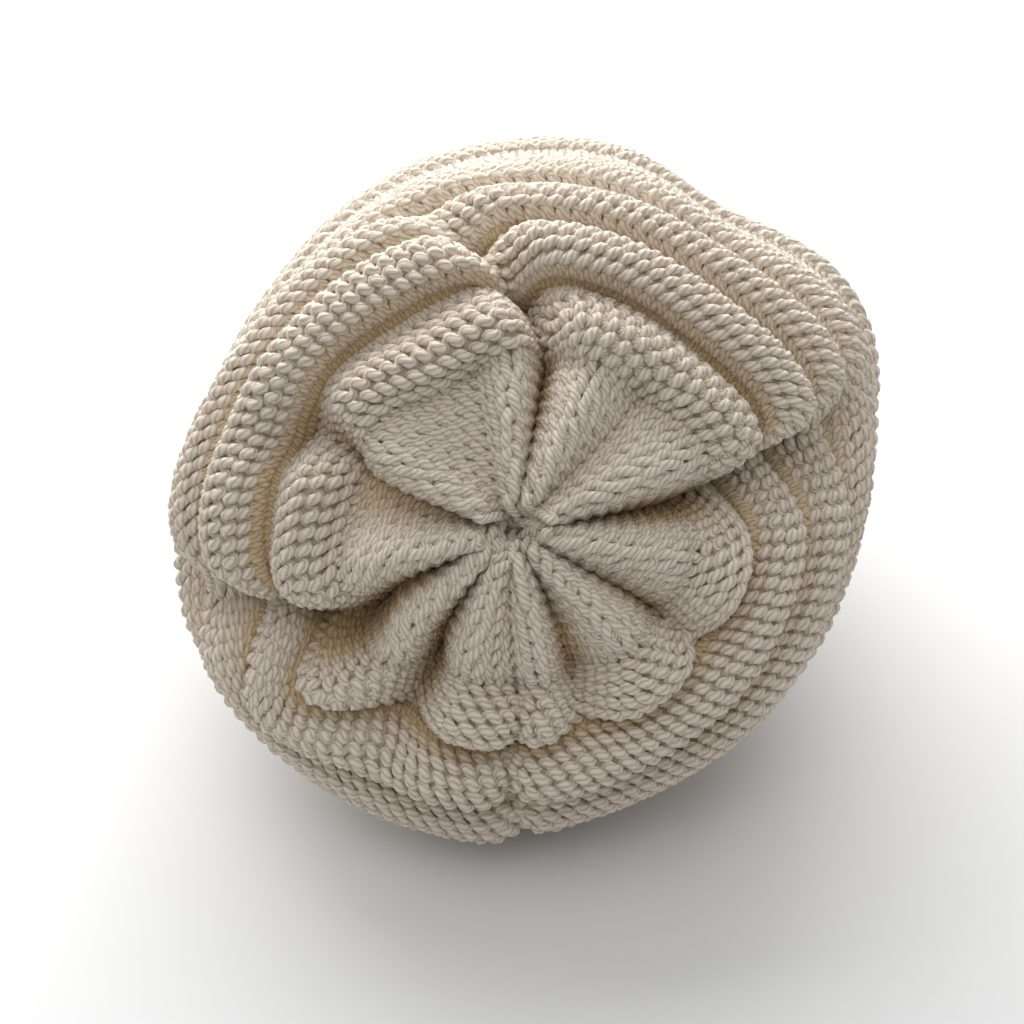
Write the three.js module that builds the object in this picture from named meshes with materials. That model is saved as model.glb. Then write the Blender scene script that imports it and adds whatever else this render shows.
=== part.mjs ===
// Slouchy knitted beanie: a ribbed brim band, a bag of seven rolled welts and a gathered crown of nine petals.
// Millimetres, +Z up. The front of the hat faces +Y and the bag slouches towards -Y.
// A place on the knitting is an angle round the hat, 0 at +X and 90 at the front, and a row number.
import * as THREE from 'three';

// Driving dimensions: lengths in millimetres, rows counted up from the rim
const OUTSIDE = 3; // from the plain form out to the face of the knitting
const INSIDE = -2; // from the plain form in to the back of the knitting
const GAP = 0.3; // between two pieces
const ROW_PITCH = 4.6; // height of one row of stitches
const RIM_ROW = 0;
const BRIM_TOP_ROW = 14;
const CROWN_ROW = 56;
const TIP_ROW = 67;
const WELT_CREST_ROW = 18.5; // middle of the lowest welt
const WELT_PITCH_ROWS = 6; // three purl rows and three knit rows
const WELT_ROUNDNESS = 2; // above 1 the rolls are broader than the grooves
const WELT_SAG_ROWS = 0.9; // how far the rolls hang over the grooves below them
const BACK_SAG_SHARE = 0.35; // at the back they hang less
const INNER_WELT_SHARE = 0.7; // the rolls are thicker than the grooves, so the inside is smoother
const RIB_COUNT = 24;
const RIB_RELIEF = 0.9;
const PETAL_SWELL = 3.5; // how far the petals stand up from the plain form
const TIP_DIMPLE = 5; // depth of the pucker at the tip
const TIP_DIMPLE_ROWS = 2.4;
const OUTLINE_MIDDLE = { x: 5.5, y: -13.7 }; // middle of the finished outline, which goes to the origin
const YARN_COLOUR = '#d8ccb8';

// Stretches over which one form gives way to the next, as first and last row, or rows below the tip
const WELT_START = { from: BRIM_TOP_ROW - 0.5, to: BRIM_TOP_ROW + 1.5 };
const WELT_END = { from: CROWN_ROW, to: CROWN_ROW + 1.5 };
const SAG_END = { from: CROWN_ROW - 2.5, to: CROWN_ROW + 1 };
const PETAL_START = { from: CROWN_ROW - 3, to: CROWN_ROW + 2 };
const PETAL_RISE = { from: CROWN_ROW - 1, to: CROWN_ROW + 3 };
const RIB_END = { from: BRIM_TOP_ROW - 2, to: BRIM_TOP_ROW };
const TIP_CLOSING = { from: 0, to: 5 };
const FOLD_FADE_ROWS = 14;
const LEVEL_RIM = { from: RIM_ROW, to: BRIM_TOP_ROW / 2 };

// How far the low front welts reach, as a share of the way from back to front
const FRONT_REACH = { from: 0.25, to: 0.95 };

// How finely the wall is divided
const WEDGE_STEP = 5.1; // degrees
const STEPS_PER_RIB = 4;
const BRIM_STEPS = 3;
const STEPS_PER_WELT = 4;
const CROWN_STEPS = 6;
const NEAR_TIP_ROW = TIP_ROW - 1;
const NORMAL_STEP = { angle: 0.06, row: 0.02, belowTip: 0.15 };

// A table is rows of numbers under named columns.
function table(columns, rows) {
  const names = columns.split(' ');
  return rows.map((row) => Object.fromEntries(row.map((value, i) => [names[i], value])));
}

// Rings of knitting: where each crosses the front and back of the hat, its half width, how far it is
// shifted sideways, how far its right side leans forward and up, and the height of its welt.
const SECTIONS = table('row frontY frontZ backY backZ halfWidth shiftX lean weltFront weltBack', [
  [0, 98, 0, -70, 0, 74, 0, 0, 0, 0],
  [7, 101, 34, -71, 31, 77, 0, 0, 0, 0],
  [14, 104, 68, -74, 60, 83, 0, 2, 0, 0],
  [18.5, 101, 98, -84, 64, 92, 1, 5, 0.6, 1],
  [24.5, 84, 126, -94, 47, 100, 3, 8, 0.7, 1.2],
  [30.5, 60, 145, -102, 27, 105, 4, 10, 1.1, 2.2],
  [36.5, 32, 155, -112, 16, 105, 2, 10, 2.2, 3.8],
  [42.5, 7, 162, -121, 25, 99, -1, 7, 4.5, 5.5],
  [48.5, -17, 165, -125, 45, 84, -2, 4, 6.5, 6.5],
  [54.5, -43, 156, -119, 64, 62, 3, 1, 7, 6.5],
  [58, -59, 145, -112, 81, 47, 2, 0, 0, 0],
  [62, -75, 130, -102, 97, 25, 1, 0, 0, 0],
  [67, -90, 113, -90, 113, 0, 0, 0, 0, 0],
]);

// Folds that run out from the tip: depth, width on each side in degrees, the row where the fold has
// died away, its swing in degrees per row, where the crest of the petal after it lies, 0 to 1, and how
// narrow that crest is.
const FOLDS = table('angle depth ccwWidth cwWidth endRow swing crest narrow', [
  [-150, 22, 9, 8, 34, -1.4, 0.6, 1.4],
  [-122, 20, 8, 8, 46, 0.2, 0.45, 1.1],
  [-91, 8, 4, 4, 38, 0.2, 0.45, 0.9],
  [-73, 18, 8, 8, 47, 0.2, 0.58, 1.3],
  [-37, 17, 8, 7, 48, 0, 0.62, 0.7],
  [10, 24, 6, 12, 33, -0.1, 0.22, 0.6],
  [79, 14, 6, 6, 36, 1.5, 0.45, 0.7],
  [104, 7, 7, 7, 55, 0, 0.82, 0.6],
  [156, 14, 8, 7, 45, 0.5, 0.78, 0.8],
]);

// Places where the knitting is drawn along itself beside a fold: outwards in millimetres (or inwards), and
// round the hat in degrees, so that it leans over the fold.
const TIPS = table('angle draw lean ccwWidth cwWidth fromRow toRow', [
  [21, 8, -6, 14, 8, 38, 62],
  [119, -6, 0, 16, 16, 48, 60],
  [150, 0, 5, 8, 14, 52, 66],
  [-162, 5, 2, 8, 14, 44, 64],
  [-141, 20, 0, 13, 8, 36, 66],
]);

// Broad swells and hollows of the bag: how far a ring of 100 mm radius grows or shrinks there.
const SWELL_RADIUS = 100;
const SWELLS = table('angle row height angleWidth rowWidth', [
  [14, 32, 6, 20, 16],
  [50, 28, -9, 18, 14],
  [112, 28, 3, 20, 14],
  [145, 34, -3, 22, 16],
  [-137, 38, -5, 24, 16],
  [-92, 36, 3, 9, 14],
  [-42, 36, 4, 22, 16],
]);

const radians = THREE.MathUtils.degToRad;

// Rises smoothly from 0 to 1 over a stretch.
function rise(value, stretch) {
  return THREE.MathUtils.smoothstep(value, stretch.from, stretch.to);
}

// Signed difference of two angles, from -180 to 180 degrees.
function turn(from, to) {
  return THREE.MathUtils.euclideanModulo(to - from + 180, 360) - 180;
}

// A bump of height 1 whose two sides can have different widths.
function bell(offset, ccwWidth, cwWidth) {
  return Math.exp(-((offset / (offset > 0 ? ccwWidth : cwWidth)) ** 2));
}

// Slope of a column at one section, from its neighbours.
function sectionSlope(name, i) {
  const before = SECTIONS[Math.max(i - 1, 0)];
  const after = SECTIONS[Math.min(i + 1, SECTIONS.length - 1)];
  return (after[name] - before[name]) / (after.row - before.row);
}

// Value of a column at any row: a smooth curve through the sections.
function section(name, row) {
  let i = 0;
  while (i < SECTIONS.length - 2 && row >= SECTIONS[i + 1].row) i += 1;
  const a = SECTIONS[i];
  const b = SECTIONS[i + 1];
  const span = b.row - a.row;
  const t = (row - a.row) / span;
  const fromSlope = span * sectionSlope(name, i);
  const toSlope = span * sectionSlope(name, i + 1);
  return (1 + 2 * t) * (1 - t) ** 2 * a[name] + t * (1 - t) ** 2 * fromSlope
    + t * t * (3 - 2 * t) * b[name] + t * t * (t - 1) * toSlope;
}

// How much a ring grows at an angle, as a share of its radius.
function ringGrowth(angle, row) {
  let total = 0;
  for (const swell of SWELLS) {
    const away = bell(turn(swell.angle, angle), swell.angleWidth, swell.angleWidth);
    total += (swell.height / SWELL_RADIUS) * away * bell(row - swell.row, swell.rowWidth, swell.rowWidth);
  }
  return total;
}

// A point of the plain form, before welts and folds.
function formPoint(angle, row) {
  const radius = 1 + ringGrowth(angle, row);
  const sine = radius * Math.sin(radians(angle));
  const cosine = radius * Math.cos(radians(angle));
  const lean = section('lean', row) * cosine;
  const across = (front, back) => (front + back + (front - back) * sine) / 2;
  return new THREE.Vector3(
    section('shiftX', row) + section('halfWidth', row) * cosine,
    across(section('frontY', row), section('backY', row)) + lean,
    across(section('frontZ', row), section('backZ', row)) + lean,
  );
}

// The outward direction of the plain form. At the rim it is level, so that the hat stands on a flat edge.
function formNormal(angle, row) {
  const at = Math.min(row, TIP_ROW - NORMAL_STEP.belowTip);
  const around = formPoint(angle + NORMAL_STEP.angle, at).sub(formPoint(angle - NORMAL_STEP.angle, at));
  const upwards = formPoint(angle, at + NORMAL_STEP.row).sub(formPoint(angle, at - NORMAL_STEP.row));
  const normal = around.cross(upwards).normalize();
  normal.z *= rise(row, LEVEL_RIM);
  return normal.normalize();
}

// Welts: broad rolls at 1 with narrower grooves at -1 between them, level at both ends of the bag.
function weltShape(row) {
  const phase = (2 * Math.PI * (row - WELT_CREST_ROW)) / WELT_PITCH_ROWS;
  const shape = 1 - 2 * ((1 - Math.cos(phase)) / 2) ** WELT_ROUNDNESS;
  return shape * rise(row, WELT_START) * (1 - rise(row, WELT_END));
}

// How far the tips draw the knitting along itself, outwards or round the hat.
function drawn(name, angle, row) {
  let total = 0;
  for (const tip of TIPS) {
    const middle = (tip.fromRow + tip.toRow) / 2;
    const below = rise(row, { from: tip.fromRow, to: middle });
    const above = 1 - rise(row, { from: middle, to: tip.toRow });
    total += tip[name] * below * above * bell(turn(tip.angle, angle), tip.ccwWidth, tip.cwWidth);
  }
  return total;
}

// The row of the plain form where a row of knitting lies, as the welts sag and the tips are drawn out.
function rowPlace(angle, row) {
  const forward = Math.sin(radians(angle));
  const hang = forward > 0 ? forward : BACK_SAG_SHARE * forward;
  const sag = WELT_SAG_ROWS * hang * (1 - rise(row, SAG_END));
  return row + sag * weltShape(row) - drawn('draw', angle, row) / ROW_PITCH;
}

// How far the welts stand out from the plain form.
function weltHeight(angle, row) {
  const front = rise((1 + Math.sin(radians(angle))) / 2, FRONT_REACH);
  return (section('weltFront', row) * front + section('weltBack', row) * (1 - front)) * weltShape(row);
}

// Folds of the bag, which die away outwards.
function bagFolds(angle, row) {
  let total = 0;
  for (const fold of FOLDS) {
    const at = fold.angle + fold.swing * Math.max(CROWN_ROW - row, 0);
    const fade = rise(row, { from: fold.endRow, to: Math.min(fold.endRow + FOLD_FADE_ROWS, CROWN_ROW) });
    total -= fold.depth * fade * bell(turn(at, angle), fold.ccwWidth, fold.cwWidth);
  }
  return total;
}

// Petals of the crown: convex wedges between sharp creases.
function crownPetals(angle) {
  for (let i = 0; i < FOLDS.length; i += 1) {
    const from = FOLDS[i];
    const to = FOLDS[(i + 1) % FOLDS.length];
    const width = THREE.MathUtils.euclideanModulo(to.angle - from.angle, 360);
    const across = THREE.MathUtils.euclideanModulo(angle - from.angle, 360) / width;
    if (across < 1) {
      const depth = from.depth + (to.depth - from.depth) * rise(across, { from: 0, to: 1 });
      const bent = across ** (Math.log(0.5) / Math.log(from.crest));
      return -depth * (1 - Math.sin(Math.PI * bent) ** from.narrow);
    }
  }
  return 0;
}

// Folds of the bag and petals of the crown, which both close up at the tip.
function foldHeight(angle, row) {
  const onCrown = rise(row, PETAL_START);
  const swell = PETAL_SWELL * rise(row, PETAL_RISE);
  const folded = bagFolds(angle, row) * (1 - onCrown) + crownPetals(angle) * onCrown;
  const dimple = TIP_DIMPLE * bell(TIP_ROW - row, TIP_DIMPLE_ROWS, TIP_DIMPLE_ROWS);
  return (folded + swell) * rise(TIP_ROW - row, TIP_CLOSING) - dimple;
}

// Ribs of the brim band, pairs of knit columns standing proud of pairs of purl columns.
function ribHeight(angle, row) {
  return RIB_RELIEF * Math.cos(radians(angle) * RIB_COUNT) * (1 - rise(row, RIB_END));
}

// A point of the knitted wall, on its outside or its inside.
function wallPoint(angle, row, isOuter) {
  const place = rowPlace(angle, row);
  const around = angle + drawn('lean', angle, row);
  const welt = weltHeight(angle, row) * (isOuter ? 1 : INNER_WELT_SHARE);
  const height = welt + foldHeight(angle, row) + ribHeight(angle, row) + (isOuter ? OUTSIDE : INSIDE);
  return formPoint(around, place).addScaledVector(formNormal(around, place), height);
}

// The closed wall between the first and the last of some rows. With a tip it runs to a point at its last row.
function wallGeometry(angles, rows, hasTip) {
  const positions = [];
  const triangles = [];
  const turns = angles.length;
  const addPoint = (point) => positions.push(point.x, point.y, point.z) / 3 - 1;
  const addQuad = (a, b, c, d) => triangles.push(a, b, c, a, c, d);
  const ring = (row, isOuter) => angles.map((angle) => addPoint(wallPoint(angle, row, isOuter)));
  const tip = (isOuter) => {
    const middle = new THREE.Vector3();
    for (const angle of angles) middle.addScaledVector(wallPoint(angle, rows.at(-1), isOuter), 1 / turns);
    return addPoint(middle);
  };
  const outer = rows.map((row) => ring(row, true));
  const inner = rows.map((row) => ring(row, false));
  const last = rows.length - 1;
  const outerTip = hasTip ? tip(true) : null;
  const innerTip = hasTip ? tip(false) : null;
  for (let i = 0; i < turns; i += 1) {
    const next = (i + 1) % turns;
    for (let j = 0; j < last; j += 1) {
      addQuad(outer[j][i], outer[j][next], outer[j + 1][next], outer[j + 1][i]);
      addQuad(inner[j][next], inner[j][i], inner[j + 1][i], inner[j + 1][next]);
    }
    addQuad(inner[0][i], inner[0][next], outer[0][next], outer[0][i]);
    if (hasTip) {
      triangles.push(outer[last][i], outer[last][next], outerTip);
      triangles.push(inner[last][next], inner[last][i], innerTip);
    } else {
      addQuad(outer[last][i], outer[last][next], inner[last][next], inner[last][i]);
    }
  }
  const geometry = new THREE.BufferGeometry();
  geometry.setAttribute('position', new THREE.Float32BufferAttribute(positions, 3));
  geometry.setIndex(triangles);
  geometry.computeVertexNormals();
  return geometry;
}

// Evenly spaced values from one to another, with both ends.
function spread(from, to, steps) {
  return Array.from({ length: steps + 1 }, (_, i) => from + ((to - from) * i) / steps);
}

// Nearly even angles round the hat that fall on every crease of the crown.
function wedgeAngles() {
  return FOLDS.flatMap((fold, i) => {
    const width = THREE.MathUtils.euclideanModulo(FOLDS[(i + 1) % FOLDS.length].angle - fold.angle, 360);
    return spread(fold.angle, fold.angle + width, Math.round(width / WEDGE_STEP)).slice(0, -1);
  });
}

// Angles round the hat that fall on every rib of the brim band.
function ribAngles() {
  return spread(0, 360, RIB_COUNT * STEPS_PER_RIB).slice(0, -1);
}

function knittedPiece(name, geometry) {
  const yarn = new THREE.MeshStandardMaterial({ color: YARN_COLOUR, roughness: 0.92, metalness: 0 });
  const mesh = new THREE.Mesh(geometry, yarn);
  mesh.name = name;
  return mesh;
}

const halfGapRows = GAP / ROW_PITCH / 2;
const brimTop = BRIM_TOP_ROW - halfGapRows;
const bodyStart = BRIM_TOP_ROW + halfGapRows;
const bodyEnd = CROWN_ROW - halfGapRows;
const crownStart = CROWN_ROW + halfGapRows;
const bodySteps = ((CROWN_ROW - BRIM_TOP_ROW) / WELT_PITCH_ROWS) * STEPS_PER_WELT;

const brimRows = spread(RIM_ROW, brimTop, BRIM_STEPS);
const bodyRows = spread(bodyStart, bodyEnd, bodySteps);
const crownRows = spread(crownStart, NEAR_TIP_ROW, CROWN_STEPS);

const hat = new THREE.Group();
hat.position.set(-OUTLINE_MIDDLE.x, -OUTLINE_MIDDLE.y, 0);
hat.add(knittedPiece('brim_band', wallGeometry(ribAngles(), brimRows, false)));
hat.add(knittedPiece('ridged_body', wallGeometry(wedgeAngles(), bodyRows, false)));
hat.add(knittedPiece('crown', wallGeometry(wedgeAngles(), crownRows, true)));

export default hat;
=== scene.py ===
"""A slouchy knitted beanie whose every stitch is a loop of plied yarn, worked along the rows of the hat.

A place on the knitting is an angle round the hat, 0 at +X and 90 at the front, and a row counted up
from the rim. The form is worked out in millimetres, and the finished pieces are in metres.
"""
import math
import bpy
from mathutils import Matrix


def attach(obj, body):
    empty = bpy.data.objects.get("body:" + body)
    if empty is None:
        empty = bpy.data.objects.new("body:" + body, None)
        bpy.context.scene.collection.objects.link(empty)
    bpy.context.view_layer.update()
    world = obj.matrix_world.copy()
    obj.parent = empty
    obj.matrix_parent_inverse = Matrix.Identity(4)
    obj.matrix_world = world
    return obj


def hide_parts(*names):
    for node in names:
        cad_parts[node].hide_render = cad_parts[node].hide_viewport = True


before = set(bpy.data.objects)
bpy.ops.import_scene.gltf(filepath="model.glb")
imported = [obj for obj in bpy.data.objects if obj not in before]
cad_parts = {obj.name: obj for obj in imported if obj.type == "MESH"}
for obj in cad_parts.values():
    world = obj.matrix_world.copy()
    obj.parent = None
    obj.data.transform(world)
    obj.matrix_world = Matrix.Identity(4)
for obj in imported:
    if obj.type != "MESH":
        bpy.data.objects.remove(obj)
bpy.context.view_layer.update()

from types import SimpleNamespace

import bmesh
import bpy
import numpy as np
from mathutils import Vector

bl_info = {
    "name": "Slouchy Beanie",
    "version": (1, 0, 0),
    "blender": (4, 5, 0),
    "location": "3D View > Sidebar > Beanie",
    "description": "Knits a slouchy welted beanie from loops of yarn",
    "category": "Object",
}

MM = 0.001

# Rows of the form, counted up from the rim, and the height of one row in millimetres
BRIM_TOP_ROW = 14
CROWN_ROW = 56
TIP_ROW = 67
WELT_CREST_ROW = 18.5
WELT_PITCH_ROWS = 6
WELT_COUNT = 7
ROW_PITCH = 4.6

# Rows of yarn in the band, in each welt and in the crown, and which rows of a welt show their purl face
BRIM_ROWS = 14
ROWS_PER_WELT = 9
CROWN_ROWS = 12
PURL_PLACES = (3, 4, 5, 6, 7, 8)

# Relief of the form, the radius that the swells are given for and the middle of the outline, in millimetres
RIB_RELIEF = 0.9
PETAL_SWELL = 3.5
TIP_DIMPLE = 12
SWELL_RADIUS = 100
OUTLINE_MIDDLE = (5.5, -13.7, 0)

# Ribs, rolls and folds. The rolls sag over the grooves below them, less so at the back, where they
# turn down instead
RIB_COUNT = 24
WELT_ROUNDNESS = 2
WELT_SAG_ROWS = 0.9
BACK_SAG_SHARE = 0.35
WELT_ROLL_ROWS = 0.7
FOLD_FADE_ROWS = 14

# Stretches over which one form gives way to the next, as first and last row
LEVEL_RIM = (0, BRIM_TOP_ROW / 2)
RIB_END = (BRIM_TOP_ROW - 2, BRIM_TOP_ROW)
WELT_START = (BRIM_TOP_ROW - 0.5, BRIM_TOP_ROW + 1.5)
WELT_END = (CROWN_ROW, CROWN_ROW + 1.5)
SAG_END = (CROWN_ROW - 2.5, CROWN_ROW + 1)
PETAL_START = (CROWN_ROW - 3, CROWN_ROW + 2)
PETAL_RISE = (CROWN_ROW - 1, CROWN_ROW + 3)

# Stretches counted in rows down from the tip
TIP_CLOSING = (0, 2.6)
TIP_DIMPLE_ROWS = 1.4
TIP_THINNING = (0, 3)

# How far the low front welts reach, as a share of the way from back to front
FRONT_REACH = (0.25, 0.95)

# Depths in millimetres over which painted warm shade comes in at a groove or a fold, and its shift in rows
WELT_PAINTED_SHADE = (1.5, 8)
PETAL_PAINTED_SHADE = (6, 18)
PAINTED_SHADE_SHIFT_ROWS = 0.5

# Steps for working out the way outwards, in degrees and rows, and the shortest length of a vector
NORMAL_ANGLE_STEP = 0.06
NORMAL_ROW_STEP = 0.02
NORMAL_BELOW_TIP = 0.15
SHORTEST = 1e-9

# How the stitches are laid out
SEAM_ANGLE = -87
RIB_SEAM_ANGLE = -90
BRIM_STITCHES = 96
POINTS_PER_KNIT = 8
POINTS_PER_PURL = 7
RING_STEPS = 2880
FEWEST_STEPS = 8
FINE_ROWS = 12
TABLE_ANGLES = np.linspace(0, 360, 241)
THIN_YARN = 0.6
BRIM_YARN_END = BRIM_TOP_ROW - 0.5
CROWN_YARN_END = TIP_ROW - 0.3

# Which way the purl bumps lean round the hat
BUMP_ANGLES = (0, 20, 75, 95, 110, 360)
BUMP_LEANS = (0.8, -1, -1, 0.6, 1, 0.8)

# The packed middle of the wall: steps round the hat, rows, the rows where it ends and its extra painted
# shade
BRIM_CORE_STEPS = RIB_COUNT * 8
BAG_CORE_STEPS = 180
CROWN_CORE_STEPS = 288
WALL_CORE_ROWS = 15
CROWN_CORE_ROWS = 22
BRIM_CORE_END = BRIM_TOP_ROW - 0.05
CROWN_CORE_END = TIP_ROW - 0.6
CORE_GAP_ROWS = 0.01
CORE_PAINTED_SHADE = 0.35


def rows_of(names, rows):
    """A table of numbers under named columns, one object for each row."""
    return [SimpleNamespace(**dict(zip(names.split(), row))) for row in rows]


# Rings of knitting: where each crosses the front and back of the hat, its half width, how far it is
# shifted sideways, how far its right side leans forward and up, and the height of its welt
SECTIONS = rows_of("row front_y front_z back_y back_z half_width shift_x lean welt_front welt_back", [
    (0, 98, 0, -70, 0, 74, 0, 0, 0, 0),
    (7, 101, 34, -71, 31, 77, 0, 0, 0, 0),
    (14, 104, 68, -74, 60, 83, 0, 2, 0, 0),
    (18.5, 101, 98, -84, 64, 92, 1, 5, 0.6, 1),
    (24.5, 84, 126, -94, 47, 100, 3, 8, 0.7, 1.2),
    (30.5, 60, 145, -102, 27, 105, 4, 10, 0.6, 2.6),
    (36.5, 32, 155, -112, 16, 105, 2, 10, 2.4, 4.4),
    (42.5, 7, 162, -121, 25, 99, -1, 7, 5.6, 6),
    (48.5, -17, 165, -125, 45, 84, -2, 4, 7.2, 6.8),
    (54.5, -43, 156, -119, 64, 62, 3, 1, 7, 6.5),
    (58, -59, 145, -112, 81, 47, 2, 0, 0, 0),
    (62, -75, 130, -102, 97, 25, 1, 0, 0, 0),
    (67, -90, 113, -90, 113, 0, 0, 0, 0, 0),
])

# Folds that run out from the tip: depth, width on each side in degrees, the row where the fold has
# died away, its swing in degrees per row, where the crest of the petal after it lies, 0 to 1, how
# narrow that crest is, and the side of the petal that its columns of stitches follow
FOLDS = rows_of("angle depth ccw_width cw_width end_row swing crest narrow columns_follow", [
    (-150, 22, 9, 8, 34, -1.4, 0.6, 1.4, "ccw"),
    (-122, 20, 8, 8, 46, 0.2, 0.45, 1.1, "cw"),
    (-91, 8, 4, 4, 38, 0.2, 0.45, 0.9, "cw"),
    (-73, 18, 8, 8, 47, 0.2, 0.58, 1.3, "cw"),
    (-37, 17, 8, 7, 48, 0, 0.46, 1.2, "ccw"),
    (10, 24, 6, 12, 33, -0.1, 0.4, 0.7, "cw"),
    (46, 10, 8, 8, 55, 0, 0.55, 1.2, "ccw"),
    (81, 16, 6, 6, 36, 1.6, 0.52, 1.1, "ccw"),
    (104, 7, 7, 7, 55, 0, 0.82, 0.6, "ccw"),
    (156, 14, 8, 7, 45, 0.5, 0.78, 0.8, "ccw"),
])

# Gaps where the folds open at the edge of the crown, and last the seam of the bag: angle at that edge,
# swing in degrees per row, depth, width on each side in degrees, the row of the deepest place and how
# many rows the gap reaches from there
GAPS = rows_of("angle swing depth width row reach", [
    (-145, -1.4, 18, 9, 55, 6),
    (-119, 0.6, 16, 6, 55.5, 5.5),
    (-76, 0, 7, 4, 57, 3.5),
    (-38, 0, 7, 4, 58, 4),
    (5, -0.7, 16, 9, 57, 5),
    (82, 1.7, 13, 5.5, 57, 4.5),
    (154, -0.6, 13, 6, 54.5, 3.5),
    (-90, 0.1, 4, 1.6, 46, 10),
])

# Places where the knitting is drawn along itself beside a fold: outwards in millimetres (or inwards),
# and round the hat in degrees, so that it leans over the fold
TIPS = rows_of("angle draw lean ccw_width cw_width from_row to_row", [
    (21, 8, -6, 14, 8, 38, 62),
    (119, -6, 0, 16, 16, 48, 60),
    (150, 0, 5, 8, 14, 52, 66),
    (-162, 5, 2, 8, 14, 44, 64),
    (-141, 20, 0, 13, 8, 36, 66),
])

# Broad swells and hollows of the bag: how far a ring of 100 mm radius grows or shrinks there
SWELLS = rows_of("angle row height angle_width row_width", [
    (14, 32, 6, 20, 16),
    (50, 28, -9, 18, 14),
    (112, 28, 3, 20, 14),
    (145, 34, -3, 22, 16),
    (-137, 38, -5, 24, 16),
    (-92, 36, 3, 9, 14),
    (-42, 36, 4, 22, 16),
])


# The form of the hat

def rise(value, stretch):
    """Rises smoothly from 0 to 1 over a stretch."""
    share = np.clip((value - stretch[0]) / (stretch[1] - stretch[0]), 0, 1)
    return share * share * (3 - 2 * share)


def turn(start, end):
    """Signed difference of two angles, from -180 to 180 degrees."""
    return (end - start + 180) % 360 - 180


def bell(offset, ccw_width, cw_width):
    """A bump of height 1 whose two sides can have different widths."""
    return np.exp(-(offset / np.where(offset > 0, ccw_width, cw_width)) ** 2)


def section(name, row):
    """Value of a column at any row: a smooth curve through the sections."""
    rows = np.array([ring.row for ring in SECTIONS], float)
    values = np.array([getattr(ring, name) for ring in SECTIONS], float)
    before = np.maximum(np.arange(len(rows)) - 1, 0)
    after = np.minimum(np.arange(len(rows)) + 1, len(rows) - 1)
    slopes = (values[after] - values[before]) / (rows[after] - rows[before])
    i = np.clip(np.searchsorted(rows, row, side="right") - 1, 0, len(rows) - 2)
    span = rows[i + 1] - rows[i]
    t = (row - rows[i]) / span
    return ((1 + 2 * t) * (1 - t) ** 2 * values[i] + t * (1 - t) ** 2 * span * slopes[i]
            + t * t * (3 - 2 * t) * values[i + 1] + t * t * (t - 1) * span * slopes[i + 1])


def ring_growth(angle, row):
    """How much a ring grows at an angle, as a share of its radius."""
    total = 0
    for swell in SWELLS:
        around = bell(turn(swell.angle, angle), swell.angle_width, swell.angle_width)
        along = bell(row - swell.row, swell.row_width, swell.row_width)
        total = total + swell.height / SWELL_RADIUS * around * along
    return total


def form_point(angle, row):
    """A point of the plain form, before welts and folds."""
    radius = 1 + ring_growth(angle, row)
    sine = radius * np.sin(np.radians(angle))
    cosine = radius * np.cos(np.radians(angle))
    lean = section("lean", row) * cosine
    front_y, back_y = section("front_y", row), section("back_y", row)
    front_z, back_z = section("front_z", row), section("back_z", row)
    x = section("shift_x", row) + section("half_width", row) * cosine
    y = (front_y + back_y + (front_y - back_y) * sine) / 2 + lean
    z = (front_z + back_z + (front_z - back_z) * sine) / 2 + lean
    return np.stack([x, y, z], -1)


def unit(vectors):
    """Vectors of length 1."""
    return vectors / np.maximum(np.linalg.norm(vectors, axis=-1, keepdims=True), SHORTEST)


def form_normal(angle, row):
    """The outward direction of the plain form, level at the rim."""
    at = np.minimum(row, TIP_ROW - NORMAL_BELOW_TIP)
    around = form_point(angle + NORMAL_ANGLE_STEP, at) - form_point(angle - NORMAL_ANGLE_STEP, at)
    upwards = form_point(angle, at + NORMAL_ROW_STEP) - form_point(angle, at - NORMAL_ROW_STEP)
    normal = unit(np.cross(around, upwards))
    normal[..., 2] *= rise(row, LEVEL_RIM)
    return unit(normal)


def welt_shape(angle, row):
    """Broad rolls at 1 with narrower grooves at -1 between them, level at both ends of the bag."""
    rolled = WELT_ROLL_ROWS * (1 - np.sin(np.radians(angle))) / 2
    phase = 2 * np.pi * (row + rolled - WELT_CREST_ROW) / WELT_PITCH_ROWS
    shape = 1 - 2 * ((1 - np.cos(phase)) / 2) ** WELT_ROUNDNESS
    return shape * rise(row, WELT_START) * (1 - rise(row, WELT_END))


def drawn(name, angle, row):
    """How far the tips draw the knitting along itself, outwards or round the hat."""
    total = 0
    for tip in TIPS:
        middle = (tip.from_row + tip.to_row) / 2
        along = rise(row, (tip.from_row, middle)) * (1 - rise(row, (middle, tip.to_row)))
        around = bell(turn(tip.angle, angle), tip.ccw_width, tip.cw_width)
        total = total + getattr(tip, name) * along * around
    return total


def row_place(angle, row):
    """The row of the plain form where a row lies, as the welts sag and the tips are drawn out."""
    forward = np.sin(np.radians(angle))
    share = np.where(forward > 0, forward, BACK_SAG_SHARE * forward)
    sag = WELT_SAG_ROWS * share * (1 - rise(row, SAG_END))
    return row + sag * welt_shape(angle, row) - drawn("draw", angle, row) / ROW_PITCH


def welt_height(angle, row):
    """How far the welts stand out from the plain form."""
    front = rise((1 + np.sin(np.radians(angle))) / 2, FRONT_REACH)
    height = section("welt_front", row) * front + section("welt_back", row) * (1 - front)
    return height * welt_shape(angle, row)


def bag_folds(angle, row):
    """Folds of the bag, which die away outwards."""
    total = 0
    for fold in FOLDS:
        at = fold.angle + fold.swing * np.maximum(CROWN_ROW - row, 0)
        fade = rise(row, (fold.end_row, min(fold.end_row + FOLD_FADE_ROWS, CROWN_ROW)))
        total = total - fold.depth * fade * bell(turn(at, angle), fold.ccw_width, fold.cw_width)
    return total


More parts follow.
